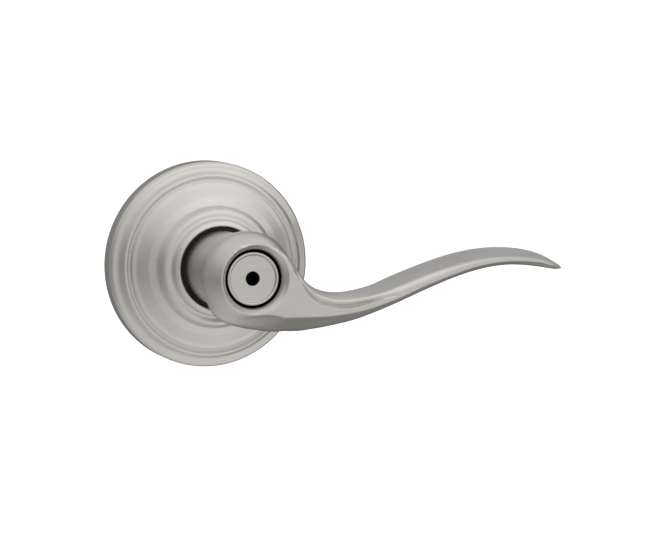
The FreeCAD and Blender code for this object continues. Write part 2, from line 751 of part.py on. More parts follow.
def privacy_plug():
    """Round plug with a raised rim, a stem inside the sleeve and the emergency release's pin hole."""
    turned(new_piece("privacy_plug"), (
        ("stem_bore", "stem_back"), ("stem_radius", "stem_back"), ("stem_radius", "clip_back"),
        ("clip_seat_radius", "clip_back"), ("clip_seat_radius", "clip_front"),
        ("stem_radius", "clip_front"), ("stem_radius", "plug_back"), ("plug_radius", "plug_back"),
        ("plug_radius", "plug_edge_depth"), ("plug_edge_radius", "plug_face"),
        ("plug_rim_radius", "plug_face"), ("plug_dish_radius", "plug_dish_face"),
        ("pin_hole_radius", "plug_dish_face"), ("pin_hole_radius", "stem_bore_front"),
        ("stem_bore", "stem_bore_front"),
    ))


def plug_clip():
    """Open snap ring that holds the plug's stem in the sleeve."""
    made = turned_ring(new_piece("plug_clip"), "clip_inside", "clip_outside", "clip_low", "clip_high")
    made.setExpression("Angle", rule("clip_angle"))


def spindle():
    """Half-round torque bar with a channel along its flat for the release rod."""
    body = new_piece("spindle")
    padded_circles(body, CENTRE, "spindle_radius", "spindle_back", "spindle_front")
    for half_width, low in (("spindle_radius", "spindle_flat"), ("channel_half_width", "-channel_half_width")):
        sketch = front_sketch(body, "spindle_front")
        outline(sketch, ((half_width, low), (half_width, "spindle_radius"),
                         ("-" + half_width, "spindle_radius"), ("-" + half_width, low)))
        bored(body, sketch, "Sizes.spindle_front - Sizes.spindle_back")
    cross_bored(body)


def spindle_carrier():
    """Zinc hub that ties the spindle to the sleeve."""
    body = new_piece("spindle_carrier")
    turned_ring(body, "carrier_bore", "carrier_radius", "carrier_back", "carrier_front")
    cross_bored(body)


def spindle_pin():
    """Cross pin through the sleeve, the carrier and the spindle."""
    body = new_piece("spindle_pin")
    sketch = end_sketch(body)
    circles(sketch, (("-cross_depth", "-cross_drop"),), "cross_radius")
    made = feature(body, "Pad", sketch)
    made.SideType = "Symmetric"
    made.setExpression("Length", "2 * Sizes.cross_half_length")


def release_rod():
    """Rod that a pin pushed through the plug's hole moves into the door."""
    turned(new_piece("release_rod"), (
        (None, "rod_back"), ("rod_radius", "rod_back"), ("rod_radius", "rod_head_back"),
        ("rod_head_radius", "rod_head_back"), ("rod_head_radius", "rod_head_front"),
        (None, "rod_head_front"),
    ))


def release_spring():
    """Compression spring between the spindle's end and the rod's head."""
    wound(new_piece("release_spring"), 0.0, "rod_coil_radius", "rod_coil_wire_radius",
          "rod_coil_start", "rod_coil_pitch", "rod_coil_height")


def lever_catch():
    """Sprung catch: its nose goes through the sleeve into the hole under the lever's neck."""
    body = new_piece("lever_catch")
    sketch = top_sketch(body, "-catch_base_low")
    outline(sketch, (("catch_half_length", "-catch_near"), ("catch_half_length", "-catch_far"),
                     ("-catch_half_length", "-catch_far"), ("-catch_half_length", "-catch_near")))
    padded(body, sketch, "-catch_base_low", "-catch_top")
    sketch = top_sketch(body, "-catch_nose_tip")
    circles(sketch, ((None, "-catch_depth"),), "catch_nose_radius")
    padded(body, sketch, "-catch_nose_tip", "-catch_base_low")


def catch_spring():
    """Leaf spring fixed inside the sleeve that presses the catch outwards."""
    body = new_piece("catch_spring")
    sketch = end_sketch(body)
    outline(sketch, (
        ("-leaf_far_end", "-leaf_low"), ("-leaf_foot_end", "-leaf_low"),
        ("-leaf_bend_end", "-leaf_high"), ("-catch_near", "-leaf_high"),
        ("-catch_near", "-leaf_high_inside"), ("-leaf_bend_end", "-leaf_high_inside"),
        ("-leaf_foot_end", "-leaf_low_inside"), ("-leaf_far_end", "-leaf_low_inside"),
    ))
    made = feature(body, "Pad", sketch)
    made.SideType = "Symmetric"
    made.setExpression("Length", "2 * Sizes.leaf_half_width")


def check_document():
    """Stop before anything is written if a feature failed or a piece has no sound shape."""
    failed = ["%s %s" % (item.Name, item.getStatusString()) for item in doc.Objects
              if "Invalid" in item.State or "Error" in item.State]
    if failed:
        raise RuntimeError("failed: " + ", ".join(failed))
    for body in pieces:
        if body.Shape.isNull() or not body.Shape.isValid() or not body.Shape.Solids:
            raise RuntimeError("no sound shape: " + body.Label)


write_sheet()
for build_piece in (rosette, mounting_plate, mounting_posts, housing_rivets, stop_pins, spring_housing,
                    sleeve_bearing, thrust_washer, neck_bushing, return_spring, cam_plate, drive_sleeve,
                    retaining_ring, lever, privacy_plug, plug_clip, spindle, spindle_carrier, spindle_pin,
                    release_rod, release_spring, lever_catch, catch_spring):
    build_piece()
doc.recompute()
check_document()
os.makedirs("parts", exist_ok=True)
for body in pieces:
    body.Shape.exportStep("parts/%s.step" % body.Label)
    print("%-16s %d solids %10.1f mm3" % (body.Label, len(body.Shape.Solids), body.Shape.Volume))
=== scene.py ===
import math
import bmesh
import bpy
import numpy as np
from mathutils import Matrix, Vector


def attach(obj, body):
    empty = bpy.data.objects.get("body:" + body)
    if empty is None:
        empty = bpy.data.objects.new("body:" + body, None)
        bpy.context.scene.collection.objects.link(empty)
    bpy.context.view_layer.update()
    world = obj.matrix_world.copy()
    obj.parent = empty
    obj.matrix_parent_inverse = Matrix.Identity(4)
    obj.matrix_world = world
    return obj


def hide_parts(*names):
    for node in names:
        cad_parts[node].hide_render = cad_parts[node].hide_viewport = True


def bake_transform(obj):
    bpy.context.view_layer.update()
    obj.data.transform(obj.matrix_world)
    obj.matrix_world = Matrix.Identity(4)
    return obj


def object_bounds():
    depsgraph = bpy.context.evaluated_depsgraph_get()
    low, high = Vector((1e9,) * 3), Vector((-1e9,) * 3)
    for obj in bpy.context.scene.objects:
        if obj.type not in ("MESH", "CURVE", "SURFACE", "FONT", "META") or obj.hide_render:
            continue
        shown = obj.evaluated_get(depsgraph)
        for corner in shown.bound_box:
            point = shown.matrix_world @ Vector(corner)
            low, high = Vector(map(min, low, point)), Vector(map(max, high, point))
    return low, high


# The origin is on the turning axis at the door's face. The lever stands out along -Y, its arm runs
# along +X and +Z is up. A depth is a distance out from the door's face, so it is -Y. Shapes are
# worked out in millimetres and put into the meshes in metres.
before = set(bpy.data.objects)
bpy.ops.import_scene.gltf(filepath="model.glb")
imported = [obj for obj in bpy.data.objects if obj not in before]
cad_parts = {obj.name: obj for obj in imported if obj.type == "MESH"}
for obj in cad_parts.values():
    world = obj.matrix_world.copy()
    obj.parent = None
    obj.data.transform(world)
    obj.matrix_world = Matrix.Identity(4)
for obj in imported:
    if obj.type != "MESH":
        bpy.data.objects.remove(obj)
CAD_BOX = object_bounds()
MM = 0.001

ROUND_STEPS = 256
ARC_STEPS = 9

# Corners of turned outlines: radius, depth, rounding.
ROSETTE_OUTLINE = (
    (35, 0, 0), (35, 6.9, 2.2), (32, 7.6, 5), (30.6, 9.75, 2), (28.95, 9.5, 0.8),
    (28.2, 10.3, 1.6), (26.9, 10.8, 3), (23.4, 13.4, 4), (20.7, 14.7, 1.6), (19.3, 17.5, 2.8),
    (16.6, 17.95, 1.4), (15.9, 19.4, 1.8), (14.3, 20.2, 0.4), (13.95, 19.5, 0.3), (14.3, 18, 0),
    (14.3, 16.6, 0), (15.3, 16.6, 0), (16.3, 16.9, 0.4), (20.2, 14.4, 1), (27.3, 9.6, 1),
    (28.9, 8.3, 0.3), (30.3, 8.6, 0.5), (34, 4.7, 1), (34, 0, 0),
)
PLUG_OUTLINE = (
    (3, 38, 0), (7.85, 38, 0.2), (7.85, 40, 0), (7.15, 40, 0), (7.15, 41, 0), (7.85, 41, 0),
    (7.85, 47, 0), (8.8, 47, 0.2), (8.8, 54.2, 0.5), (8, 54.35, 0.4), (7.6, 53.55, 0.25),
    (4.5, 53.55, 9), (2.5, 53.7, 0.12), (2.26, 53.45, 0.12), (2.26, 46, 0), (3, 46, 0),
)
NECK_OUTLINE = ((0, 12.3, 0), (12.7, 12.3, 0.4), (12.7, 40.6, 0), (11, 43, 0), (0, 43, 0))
SINK_OUTLINE = (
    (0, 10, 0), (9.5, 10, 0), (9.5, 54.1, 0.15), (10.05, 55.6, 1.4), (11.35, 56.95, 0.25),
    (12.2, 57.4, 0), (12.2, 60, 0), (0, 60, 0),
)

# The lever's hub: a barrel about the turning axis.
HUB_WIDEST = 47.5
HUB_RADIUS = 15
HUB_REAR = 39.5
HUB_BULGE = 2.3
HUB_REAR_LENGTH = 7.5
HUB_NOSE = 3
HUB_NOSE_LENGTH = 9.2
HUB_CURVE = 2.2

# How wide the crease, the hub and the land's front are rounded where they meet.
LEAST_BLEND = 0.02
CREASE_BLEND = 3
CREASE_BLEND_LOSS = 2.1
HUB_BLEND = 4
FRONT_ROUNDING = 0.3
LAND_EDGE = 0.45
# The dip in the roll's front starts past the hub, between these two places along X.
DIP_START = (-4, 8)
# The power of the arm's superellipses where nothing flattens them.
SECTION_POWER = 2.15

# The lever's arm along X: top edge, crease above the front land, lower ridge, bottom edge, depth of
# the roll above the crease, depth of the land, depth of the back.
ARM = np.array((
    (-15, 3, 6.7, -8.5, -13.88, 52, 57, 43),
    (-10, 4, 6.7, -10, -14.88, 52, 57, 43),
    (-5, 5, 6.7, -11.1, -15.68, 52, 57, 43),
    (0, 6, 6.7, -11.7, -16.85, 52, 57, 43),
    (6, 7.5, 6.7, -11.9, -18.15, 53, 57, 43),
    (9.5, 8.2, 6.2, -12, -18.44, 54, 57, 43),
    (12, 7, 2.9, -12, -18.41, 54.4, 57, 43),
    (15, 3.6, -1, -12.1, -18.53, 54.5, 57, 43),
    (18, -0.4, -5.2, -12.15, -18.53, 54.6, 57, 43),
    (21, -3.2, -8.3, -12.3, -18.18, 54.9, 57, 43.3),
    (25, -5.25, -9.9, -12.35, -17.65, 55.3, 57, 43.8),
    (30, -6.15, -10.6, -12.1, -16.77, 55.7, 57, 44.4),
    (36, -5.7, -10.1, -11.35, -15.49, 56.1, 56.9, 45.2),
    (42, -4.3, -8.7, -10.05, -13.56, 56.4, 56.8, 45.9),
    (50, -1.15, -6.8, -7.6, -10.67, 56.4, 56.5, 46.3),
    (60, 2.35, -3.7, -3.75, -6.73, 56, 56.1, 46.8),
    (70, 5.2, -0.6, -0.6, -3.1, 55.5, 55.6, 47.1),
    (80, 6.8, 1.8, 1.8, -0.46, 54.8, 54.8, 47.2),
    (90, 6.85, 2.5, 2.5, 0.78, 53.5, 53.5, 46.9),
    (98, 5.75, 2.1, 2.1, 0.42, 52.2, 52.2, 46.5),
    (105, 3.55, 1.1, 1.1, -0.62, 50.6, 50.6, 46.2),
    (110, 0.8, -0.5, -0.5, -1.57, 49.4, 49.4, 46.3),
    (113.5, -1.3, -1.8, -1.8, -2.33, 48.6, 48.6, 46.4),
))
MIDDLE_SHARE = 0.3
DIP_DEPTH = 1
DIP_SHARE = 0.45
DIP_END = (34, 54)
LAND_START = -5
LAND_RISE = 16
REAR_START = -2
REAR_LENGTH = 9.5
ARM_TIP = 112.3
TIP_ROUNDING = 1.3

# How much coarser than the grain its streaks are, and how fine the cloud is.
STREAK_SCALE = 0.16
# Radii and depths of the painted shade: the satin nickel is painted near black in the gap round the plug and
# in the release hole.
GAP_RADII = (8.75, 9.75)
GAP_DEPTH = 53.95
HOLE_RADIUS = 2.4
HOLE_DEPTH = 53.5
CLOUD_SCALE = 90


def smooth_curve(places, values, at):
    """Cubic between the places whose slope at each place is the mean of the slopes beside it."""
    steps = np.diff(places)
    rises = np.diff(values) / steps
    slopes = np.concatenate((rises[:1], (rises[:-1] + rises[1:]) / 2, rises[-1:]))
    cell = np.clip(np.searchsorted(places, at) - 1, 0, len(steps) - 1)
    t = (at - places[cell]) / steps[cell]
    start = values[cell] + steps[cell] * slopes[cell] * t * (1 - t) ** 2
    swing = (values[cell + 1] - values[cell]) * t * t * (3 - 2 * t)
    return start + swing - steps[cell] * slopes[cell + 1] * t * t * (1 - t)


def smooth_union(one, other, width):
    """The lesser of two fields, with the inner corner filled over a width."""
    near = np.clip(1 - np.abs(one - other) / width, 0, 1)
    return np.minimum(one, other) - near * near * width / 4


def smooth_cut(one, other, width):
    """The greater of two fields, with the outer corner rounded over a width."""
    return -smooth_union(-one, -other, width)


def ease(start, end, at):
    """Goes from 0 at the start to 1 at the end along a cubic with level ends."""
    t = np.clip((at - start) / (end - start), 0, 1)
    return t * t * (3 - 2 * t)


def mesh_piece(name, points, quads, triangles, sharp_degrees):
    """A smooth-shaded object from points in millimetres; the faces are turned outwards as a whole."""
    corners = points[quads[:, :3]]
    swept = np.einsum("ij,ij->i", corners[:, 0], np.cross(corners[:, 1], corners[:, 2])).sum()
    way = -1 if swept < 0 else 1
    mesh = bpy.data.meshes.new(name)
    mesh.from_pydata((points * MM).tolist(), [], quads[:, ::way].tolist() + triangles[:, ::way].tolist())
    mesh.polygons.foreach_set("use_smooth", np.ones(len(mesh.polygons), bool))
    mesh.set_sharp_from_angle(angle=math.radians(sharp_degrees))
    mesh.update()
    piece = bpy.data.objects.new(name, mesh)
    bpy.context.collection.objects.link(piece)
    return piece


def grid_faces(rows, columns, wrap_rows):
    """Four-sided faces of a grid whose columns run round a closed loop."""
    row = np.arange(rows if wrap_rows else rows - 1)[:, None]
    column = np.arange(columns)[None, :]
    here, there = row * columns, (row + 1) % rows * columns
    beside = (column + 1) % columns
    return np.stack((here + column, here + beside, there + beside, there + column), -1).reshape(-1, 4)


def end_faces(rows, columns):
    """Triangles from the first and the last ring of a grid to the two points that follow its points."""
    column = np.arange(columns)
    beside = (column + 1) % columns
    last, pole = (rows - 1) * columns, np.full(columns, rows * columns)
    return np.concatenate((np.stack((pole, beside, column), -1),
                           np.stack((last + column, last + beside, pole + 1), -1)))


def rounded_outline(corners):
    """Replace each corner that has a rounding by the arc of that radius that touches both edges."""
    place, rounding = np.array(corners, float)[:, :2], np.array(corners, float)[:, 2]
    before, after = np.roll(place, 1, 0) - place, np.roll(place, -1, 0) - place
    room = np.minimum(np.hypot(*before.T), np.hypot(*after.T)) / 2
    before /= np.hypot(*before.T)[:, None]
    after /= np.hypot(*after.T)[:, None]
    half = np.arccos(np.clip((before * after).sum(1), -1, 1)) / 2
    reach = np.minimum(rounding / np.tan(half), room)
    bend = reach * np.tan(half)
    inward = (before + after) / np.hypot(*(before + after).T)[:, None]
    middle = place + inward * (bend / np.sin(half))[:, None]
    start = place + before * reach[:, None] - middle
    side = np.sign(before[:, 1] * after[:, 0] - before[:, 0] * after[:, 1])
    share = np.linspace(0, 1, ARC_STEPS + 1)
    angle = np.arctan2(start[:, 1], start[:, 0])[:, None] + (side * (math.pi - 2 * half))[:, None] * share
    around = np.stack((np.cos(angle), np.sin(angle)), -1)
    points = middle[:, None] + bend[:, None, None] * around
    return points[(rounding > 0)[:, None] | (share == 0)]


def turned(name, corners, sharp_degrees=28):
    """Turn a rounded outline about Y: x = r cos a, y = -depth, z = r sin a; axis points are poles."""
    outline = rounded_outline(corners)
    closed = outline[0, 0] > 0
    rings = outline if closed else outline[1:-1]
    angle = np.linspace(0, 2 * math.pi, ROUND_STEPS, endpoint=False)
    radius, depth = rings[:, :1], rings[:, 1:]
    points = np.stack(np.broadcast_arrays(radius * np.cos(angle), -depth, radius * np.sin(angle)), -1)
    points = points.reshape(-1, 3)
    quads = grid_faces(len(rings), ROUND_STEPS, closed)
    if closed:
        return mesh_piece(name, points, quads, np.empty((0, 3), int), sharp_degrees)
    poles = np.array(((0, -outline[0, 1], 0), (0, -outline[-1, 1], 0)))
    triangles = end_faces(len(rings), ROUND_STEPS)
    return mesh_piece(name, np.concatenate((points, poles)), quads, triangles, sharp_degrees)


def hub_field(x, depth, z):
    """Below zero inside the barrel, whose radius falls off as a power of the way from its widest."""
    rear = HUB_BULGE * (np.clip(HUB_WIDEST - depth, 0, None) / HUB_REAR_LENGTH) ** HUB_CURVE
    nose = HUB_NOSE * (np.clip(depth - HUB_WIDEST, 0, None) / HUB_NOSE_LENGTH) ** HUB_CURVE
    wall = np.hypot(x, z) - (HUB_RADIUS - rear - nose)
    return np.maximum(wall, HUB_REAR - depth)


def arm_section(x, depth, z, sizes, knee, face):
    """Below zero inside the arm, whose section is four quarter superellipses with a given front."""
    top, crease, ridge, bottom, roll, land, back, middle = sizes
    upper = np.clip(z - knee, 0, None) / (top - knee)
    lower = np.clip(ridge - z, 0, None) / (ridge - bottom)
    ahead = np.clip(depth - middle, 0, None) / (face - middle)
    behind = np.clip(middle - depth, 0, None) / (middle - back)
    lower_power = SECTION_POWER - 0.4 * ease(-8, 6, x) - 0.35 * ease(60, 95, x)
    upper_power = SECTION_POWER - 0.2 * ease(16, 34, x)
    power = np.where(z < ridge, lower_power, np.where(z > knee, upper_power, SECTION_POWER))
    power = np.where(depth > middle, power, SECTION_POWER)
    span = np.minimum((top - bottom) / 2, (land - back) / 2)
    lead = np.clip(REAR_START - x, 0, None) / REAR_LENGTH
    return span * (((upper + lower) ** power + (ahead + behind) ** power + lead ** power) ** (1 / power) - 1)


def roll_field(x, depth, z, sizes):
    """Below zero inside the arm's roll, whose front dips towards the crease above the land."""
    top, crease, ridge, bottom, roll, land, back, middle = sizes
    dip = (1 - ease(*DIP_END, x)) * ease(*DIP_START, x)
    knee = np.minimum(crease + DIP_SHARE * dip * (top - crease), top - 2.5)
    fall = np.clip((knee - z) / (np.abs(knee - crease) + 0.3), 0, 1.3)
    lower_face = roll + (land - roll) * ease(LAND_START, LAND_START + LAND_RISE, x)
    face = np.where(z > ridge, roll - DIP_DEPTH * dip * fall ** 2, lower_face)
    return arm_section(x, depth, z, sizes, knee, face)


def land_field(x, depth, z, sizes, slope):
    """Below zero inside the flat land: the arm's front below the crease, with a rounded upper edge."""
    top, crease, ridge, bottom, roll, land, back, middle = sizes
    outline = np.maximum((z - crease) * slope, LAND_START - x)
    far = np.hypot(np.clip(outline + LAND_EDGE, 0, None), np.clip(depth - land + LAND_EDGE, 0, None))
    face = roll + (land - roll) * ease(LAND_START, LAND_START + LAND_RISE, x)
    below = arm_section(x, depth, z, sizes, np.minimum(crease, top - 2.5), face)
    return np.maximum(np.maximum(far - LAND_EDGE, outline), np.maximum(below, middle - depth))


def lever_field(x, depth, z, sizes, slope):
    """The barrel, the roll and the land together, cut by the front of the land."""
    blend = CREASE_BLEND - CREASE_BLEND_LOSS * ease(6, 14, x)
    width = LEAST_BLEND + blend * ease(-0.5, 3.5, z - sizes[2])
    arm = smooth_union(roll_field(x, depth, z, sizes), land_field(x, depth, z, sizes, slope), width)
    body = smooth_union(hub_field(x, depth, z), arm, HUB_BLEND)
    return smooth_cut(body, depth - sizes[5], FRONT_ROUNDING)


def lever_skin():
    """Closed skin of hub and arm: rays leave a middle line and stop where the field is zero."""
    left, first = -HUB_RADIUS, -HUB_RADIUS + 0.03
    dense = first + 15 * (1 - np.cos(np.linspace(0, math.pi / 2, 60, endpoint=False)))
    near = np.arange(dense[-1] + 0.3, 45, 0.36)
    far = np.linspace(near[-1] + 0.5, ARM_TIP - TIP_ROUNDING, 86)
    end = ARM_TIP - TIP_ROUNDING * (1 - np.sin(np.linspace(0.15, 1.5, 9)))
    x = np.concatenate((dense, near, far, end))[:, None]
    columns = [smooth_curve(ARM[:, 0], ARM[:, column], x) for column in range(1, 8)]
    top, crease, ridge, bottom, roll, land, back = columns
    middle = back + (land - back) * MIDDLE_SHARE
    shrink = np.sqrt(np.clip(1 - (np.clip(x - ARM_TIP + TIP_ROUNDING, 0, None) / TIP_ROUNDING) ** 2, 0, 1))
    core = (top + bottom) / 2
    sizes = [core + (value - core) * shrink for value in (top, crease, ridge, bottom)]
    sizes += [middle + (value - middle) * shrink for value in (roll, land, back)] + [middle]
    nudge = 0.05
    rise = smooth_curve(ARM[:, 0], ARM[:, 2], x + nudge) - smooth_curve(ARM[:, 0], ARM[:, 2], x - nudge)
    slope = 1 / np.hypot(1, rise / (2 * nudge))
    start_z = ease(-4, 24, x) * (0.5 * sizes[2] + 0.5 * core)
    start_depth = HUB_WIDEST + (middle - HUB_WIDEST) * ease(-4, 20, x)
    to_ridge = np.arctan2(sizes[2] - start_z, sizes[5] - start_depth)
    to_crease = np.maximum(np.arctan2(sizes[1] - start_z, sizes[4] - start_depth), to_ridge + 0.12)
    quarter = math.pi / 2 + 0 * x
    knots = (to_ridge, to_crease, np.maximum(quarter, to_crease + 0.3), 2 * quarter, 3 * quarter,
             to_ridge + 4 * quarter)
    even = [np.linspace(0, 1, count, endpoint=False) for count in (24, 60, 36, 34, 54)]
    even[-1] = 1 - (1 - even[-1]) ** 1.6
    fans = [first + (last - first) * share for first, last, share in zip(knots, knots[1:], even)]
    angle = np.concatenate(fans, 1)
    inside, outside = 0 * angle, 32 + 0 * angle
    for _ in range(26):
        reach = (inside + outside) / 2
        found = lever_field(x, start_depth + reach * np.cos(angle), start_z + reach * np.sin(angle),
                            sizes, slope) < 0
        inside, outside = np.where(found, reach, inside), np.where(found, outside, reach)
    depth = start_depth + inside * np.cos(angle)
    z = start_z + inside * np.sin(angle)
    points = np.stack(np.broadcast_arrays(x, -depth, z), -1).reshape(-1, 3)
    poles = [(left, -HUB_WIDEST, 0), (ARM_TIP, -middle[-1, 0], core[-1, 0])]
    return mesh_piece("lever_body", np.concatenate((points, poles)), grid_faces(*angle.shape, False),
                      end_faces(*angle.shape), 30)


def joined(piece, tool, operation):
    """Apply an exact boolean and remove the tool."""
    change = piece.modifiers.new(operation, "BOOLEAN")
    change.object = tool
    change.operation = operation
    change.solver = "EXACT"
    bpy.context.view_layer.update()
    made = bpy.data.meshes.new_from_object(piece.evaluated_get(bpy.context.evaluated_depsgraph_get()))
    piece.modifiers.clear()
    piece.data = made
    bpy.data.objects.remove(tool)


def lever():
    """Hub and arm on the neck, bored for the sleeve and countersunk for the plug."""
    body = lever_skin()
    joined(body, turned("neck_tool", NECK_OUTLINE), "UNION")
    joined(body, turned("sink_tool", SINK_OUTLINE), "DIFFERENCE")
    body.data.polygons.foreach_set("use_smooth", np.ones(len(body.data.polygons), bool))
    body.data.set_sharp_from_angle(angle=math.radians(30))
    return body


def yielding_spring(name, node):
    """A smooth-shaded spring with its CAD shape, put in place of the CAD part."""
    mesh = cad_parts[node].data.copy()
    shape = bmesh.new()
    shape.from_mesh(mesh)
    bmesh.ops.remove_doubles(shape, verts=shape.verts, dist=0.001 * MM)
    shape.to_mesh(mesh)
    shape.free()
    mesh.polygons.foreach_set("use_smooth", np.ones(len(mesh.polygons), bool))
    mesh.set_sharp_from_angle(angle=math.radians(40))
    spring = bpy.data.objects.new(name, mesh)
    spring.matrix_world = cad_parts[node].matrix_world
    bpy.context.collection.objects.link(spring)
    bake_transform(spring)
    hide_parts(node)
    return spring


def node_math(tree, operation, first, second=None, third=None):
    """A Math node whose inputs are sockets or numbers."""
    node = tree.nodes.new("ShaderNodeMath")
    node.operation = operation
    for socket, value in zip(node.inputs, (first, second, third)):
        if isinstance(value, bpy.types.NodeSocket):
            tree.links.new(value, socket)
        elif value is not None:
            socket.default_value = value
    return node.outputs[0]


def grain(tree, scale, stretch, detail=3.0):
    """Noise on Object coordinates, stretched along the axes."""
    place = tree.nodes.new("ShaderNodeTexCoord")
    shift = tree.nodes.new("ShaderNodeMapping")
    shift.inputs["Scale"].default_value = stretch
    noise = tree.nodes.new("ShaderNodeTexNoise")
    noise.inputs["Scale"].default_value = scale
    noise.inputs["Detail"].default_value = detail
    tree.links.new(place.outputs["Object"], shift.inputs["Vector"])
    tree.links.new(shift.outputs["Vector"], noise.inputs["Vector"])
    return noise.outputs["Fac"]


def span(tree, source, low, high):
    """Map a 0 to 1 value onto a range."""
    node = tree.nodes.new("ShaderNodeMapRange")
    node.inputs["To Min"].default_value = low
    node.inputs["To Max"].default_value = high
    tree.links.new(source, node.inputs["Value"])
    return node.outputs["Result"]


def eased(tree, source, start, end):
    """0 at the start and 1 at the end, with level ends."""
    node = tree.nodes.new("ShaderNodeMapRange")
    node.interpolation_type = "SMOOTHSTEP"
    node.inputs["From Min"].default_value = start
    node.inputs["From Max"].default_value = end
    tree.links.new(source, node.inputs["Value"])
    return node.outputs["Result"]


def within(tree, source, low, high):
    """1 where a value is between two limits, else 0."""
    above = node_math(tree, "GREATER_THAN", source, low)
    return node_math(tree, "MULTIPLY", above, node_math(tree, "LESS_THAN", source, high))


def painted_recess_shade(tree):
    """1 on the walls of the gap round the plug and of the release hole, where painted shade turns the satin
    nickel near black, else 0.
    """
    place = tree.nodes.new("ShaderNodeTexCoord")
    axes = tree.nodes.new("ShaderNodeSeparateXYZ")
    tree.links.new(place.outputs["Object"], axes.inputs[0])
    square = node_math(tree, "MULTIPLY", axes.outputs["X"], axes.outputs["X"])
    square = node_math(tree, "MULTIPLY_ADD", axes.outputs["Z"], axes.outputs["Z"], square)
    radius = node_math(tree, "SQRT", square)
    gap = within(tree, radius, GAP_RADII[0] * MM, GAP_RADII[1] * MM)
    gap = node_math(tree, "MULTIPLY", gap, within(tree, axes.outputs["Y"], -GAP_DEPTH * MM, 0))
    hole = within(tree, radius, 0, HOLE_RADIUS * MM)
    hole = node_math(tree, "MULTIPLY", hole, within(tree, axes.outputs["Y"], -HOLE_DEPTH * MM, 0))
    return node_math(tree, "MAXIMUM", gap, hole)


def tint(tree, source, dark, light):
    """Colour between two tones of a finish."""
    node = tree.nodes.new("ShaderNodeMix")
    node.data_type = "RGBA"
    node.inputs["A"].default_value = (*dark, 1)
    node.inputs["B"].default_value = (*light, 1)
    tree.links.new(source, node.inputs["Factor"])
    return node.outputs["Result"]


def product(tree, one, other):
    """Two colours multiplied."""
    node = tree.nodes.new("ShaderNodeVectorMath")
    node.operation = "MULTIPLY"
    tree.links.new(one, node.inputs[0])
    tree.links.new(other, node.inputs[1])
    return node.outputs["Vector"]


def finish(name, dark, light, metallic, roughness, stretch, scale, bump):
    """A finish whose tone, roughness and fine relief follow one stretched grain and a faint cloud; the satin
    nickel also gets painted shade, near black, in the gap round the plug and in the release hole.
    """
    material = bpy.data.materials.new(name)
    material.use_nodes = True
    tree = material.node_tree
    shader = tree.nodes["Principled BSDF"]
    lines = grain(tree, scale, stretch)
    streaks = grain(tree, scale * STREAK_SCALE, stretch, 2)
    cloud = grain(tree, CLOUD_SCALE, (1, 1, 1), 2)
    both = node_math(tree, "MULTIPLY", node_math(tree, "ADD", streaks, cloud), 0.5)
    tone = tint(tree, span(tree, both, -0.5, 1.5), dark, light)
    # Painted shade: near black on the walls of the gap round the plug and of the release hole.
    if name == "satin_nickel":
        shade = tint(tree, painted_recess_shade(tree), (1, 1, 1), (0.01, 0.01, 0.01))
        tone = product(tree, tone, shade)
    tree.links.new(tone, shader.inputs["Base Color"])
    worn = node_math(tree, "MULTIPLY", node_math(tree, "ADD", lines, streaks), 0.5)
    tree.links.new(span(tree, worn, roughness[0], roughness[1]), shader.inputs["Roughness"])
    shader.inputs["Metallic"].default_value = metallic
    relief = tree.nodes.new("ShaderNodeBump")
    relief.inputs["Strength"].default_value = bump
    relief.inputs["Distance"].default_value = 0.00005
    tree.links.new(worn, relief.inputs["Height"])
    tree.links.new(relief.outputs["Normal"], shader.inputs["Normal"])
    return material


def finishes():
    """The materials, by the record's slot names."""
    return {
        "satin_nickel": finish("satin_nickel", (0.585, 0.567, 0.528), (0.655, 0.637, 0.598), 1, (0.24, 0.38),
                               (0.1, 1, 1), 2600, 0.25),
        "zinc_plated_steel": finish("zinc_plated_steel", (0.58, 0.60, 0.62), (0.72, 0.73, 0.72), 1,
                                    (0.25, 0.42), (1, 1, 1), 900, 0.2),
        "spring_steel": finish("spring_steel", (0.30, 0.31, 0.33), (0.42, 0.42, 0.43), 1, (0.2, 0.35),
                               (1, 1, 1), 1500, 0.15),
        "black_nylon": finish("black_nylon", (0.012, 0.012, 0.013), (0.02, 0.02, 0.021), 0, (0.5, 0.7),
                              (1, 1, 1), 1800, 0.2),
        "pale_nylon": finish("pale_nylon", (0.62, 0.60, 0.54), (0.72, 0.70, 0.65), 0, (0.4, 0.55),
                             (1, 1, 1), 1500, 0.15),
        "cast_zinc": finish("cast_zinc", (0.42, 0.43, 0.44), (0.55, 0.55, 0.56), 1, (0.4, 0.6),
                            (1, 1, 1), 1200, 0.5),
        # A dark finish that is also painted shade: near black and not metallic, so the drive sleeve and
        # release rod show as the shade in the gap round the plug and down the release hole.
        "darkened_steel": finish("darkened_steel", (0.004, 0.004, 0.004), (0.01, 0.01, 0.01), 0, (0.7, 0.9),
                                 (1, 1, 1), 1200, 0.3),
    }


def dress(piece, material):
    """Give a piece one finish."""
    piece.data.materials.clear()
    piece.data.materials.append(material)


